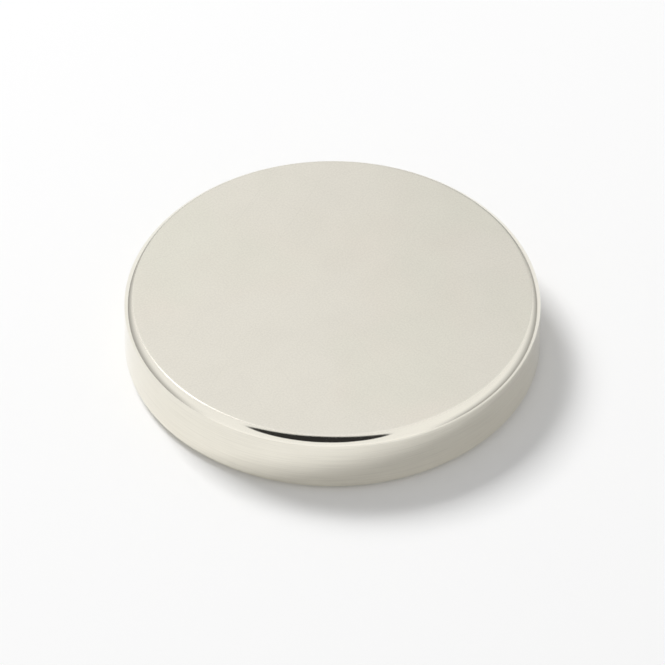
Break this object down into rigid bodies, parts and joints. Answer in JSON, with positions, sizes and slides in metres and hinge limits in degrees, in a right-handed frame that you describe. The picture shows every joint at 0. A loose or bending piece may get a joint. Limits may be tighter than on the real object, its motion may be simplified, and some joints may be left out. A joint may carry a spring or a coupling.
{
  "type": "disc magnet",
  "caption": "Thin round disc magnet with two flat pole faces, a straight rim and rounded edges, for holding to steel or setting into a pocket.",
  "frame": {"origin": "centre of the lower pole face, the one that the disc rests on", "axes": "+Z along the disc's axis, from the lower pole face to the upper one; X and Y lie in the lower face, and the disc looks the same at any turn about Z"},
  "size_m": [0.012, 0.012, 0.002],
  "materials": {
    "nickel_plate": "satin nickel plate, warm white"
  },
  "bodies": {
    "root": {"magnet_disc": "nickel_plate"}
  },
  "joints": []
}
